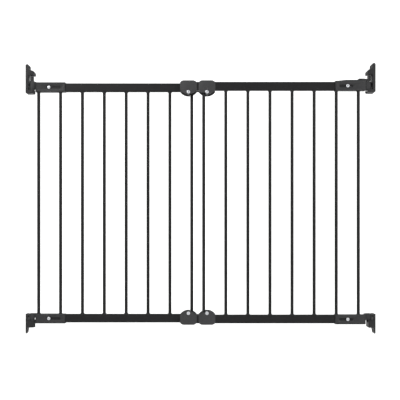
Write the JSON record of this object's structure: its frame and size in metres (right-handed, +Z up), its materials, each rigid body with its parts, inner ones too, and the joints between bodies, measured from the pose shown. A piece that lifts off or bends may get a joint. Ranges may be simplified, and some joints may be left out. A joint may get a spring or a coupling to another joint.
{
  "type": "safety baby gate",
  "caption": "Wall-mounted safety gate of two overlapping barred panels, which lifts, swings and telescopes between wall brackets, with a sliding catch on the lock side.",
  "frame": {"origin": "middle of the gate's base, at the foot of the lowest wall bracket", "axes": "+X across the opening from the hinge wall to the lock wall, +Y through the opening away from the viewer, +Z up"},
  "size_m": [1.048, 0.033, 0.8105],
  "materials": {
    "powder_coat": "satin black powder coat",
    "bracket_plastic": "fine moulded grain",
    "fitting_plastic": "fine moulded grain",
    "coupler_plastic": "fine moulded grain",
    "slider_plastic": "smooth moulding",
    "plug_plastic": "smooth moulding",
    "glide_nylon": "natural nylon",
    "zinc_steel": "bright zinc plate",
    "pin_steel": "ground steel",
    "spring_steel": "drawn wire"
  },
  "bodies": {
    "wall_brackets": {"hinge_bracket_top": "bracket_plastic", "hinge_bracket_bottom": "bracket_plastic", "lock_bracket_top": "bracket_plastic", "lock_bracket_bottom": "bracket_plastic"},
    "hinge_pins": {"hinge_pin_top": "pin_steel", "hinge_pin_bottom": "pin_steel"},
    "rear_panel": {"rear_rail_top": "powder_coat", "rear_rail_bottom": "powder_coat", "rear_bar_1": "powder_coat", "rear_bar_2": "powder_coat", "rear_bar_3": "powder_coat", "rear_bar_4": "powder_coat", "rear_bar_5": "powder_coat", "rear_bar_6": "powder_coat", "rear_bar_7": "powder_coat", "rear_bar_8": "powder_coat", "rear_rail_plugs": "plug_plastic", "hinge_fitting_top": "fitting_plastic", "hinge_fitting_bottom": "fitting_plastic", "hinge_adjusting_screws": "zinc_steel", "hinge_adjusting_nuts": "zinc_steel", "right_top_front_shell": "coupler_plastic", "right_top_rear_shell": "coupler_plastic", "right_bottom_front_shell": "coupler_plastic", "right_bottom_rear_shell": "coupler_plastic", "right_coupler_screws": "zinc_steel", "right_coupler_nuts": "zinc_steel", "rear_glide_pads": "glide_nylon"},
    "front_panel": {"front_rail_top": "powder_coat", "front_rail_bottom": "powder_coat", "front_bar_1": "powder_coat", "front_bar_2": "powder_coat", "front_bar_3": "powder_coat", "front_bar_4": "powder_coat", "front_bar_5": "powder_coat", "front_bar_6": "powder_coat", "front_bar_7": "powder_coat", "front_bar_8": "powder_coat", "front_rail_plugs": "plug_plastic", "lock_fitting_top": "fitting_plastic", "lock_fitting_bottom": "fitting_plastic", "lock_adjusting_screws": "zinc_steel", "lock_adjusting_nuts": "zinc_steel", "left_top_front_shell": "coupler_plastic", "left_top_rear_shell": "coupler_plastic", "left_bottom_front_shell": "coupler_plastic", "left_bottom_rear_shell": "coupler_plastic", "left_coupler_screws": "zinc_steel", "left_coupler_nuts": "zinc_steel", "front_glide_pads": "glide_nylon", "slider_spring": "spring_steel"},
    "lock_slider": {"lock_slider": "slider_plastic"}
  },
  "joints": [
    {"name": "swing", "type": "hinge", "parent": "wall_brackets", "child": "hinge_pins", "pos_m": [-0.507, 0, 0.4], "axis": [0, 0, 1], "range_deg": [-90, 90]},
    {"name": "lift", "type": "slide", "parent": "hinge_pins", "child": "rear_panel", "axis": [0, 0, 1], "range_m": [-0.006, 0.003]},
    {"name": "width_adjust", "type": "slide", "parent": "rear_panel", "child": "front_panel", "axis": [-1, 0, 0], "range_m": [0, 0.045]},
    {"name": "lock_slide", "type": "slide", "parent": "front_panel", "child": "lock_slider", "axis": [-1, 0, 0], "range_m": [0, 0.012], "stiffness_N_per_m": 120, "springref_m": -0.008, "deforming": ["slider_spring"]}
  ]
}
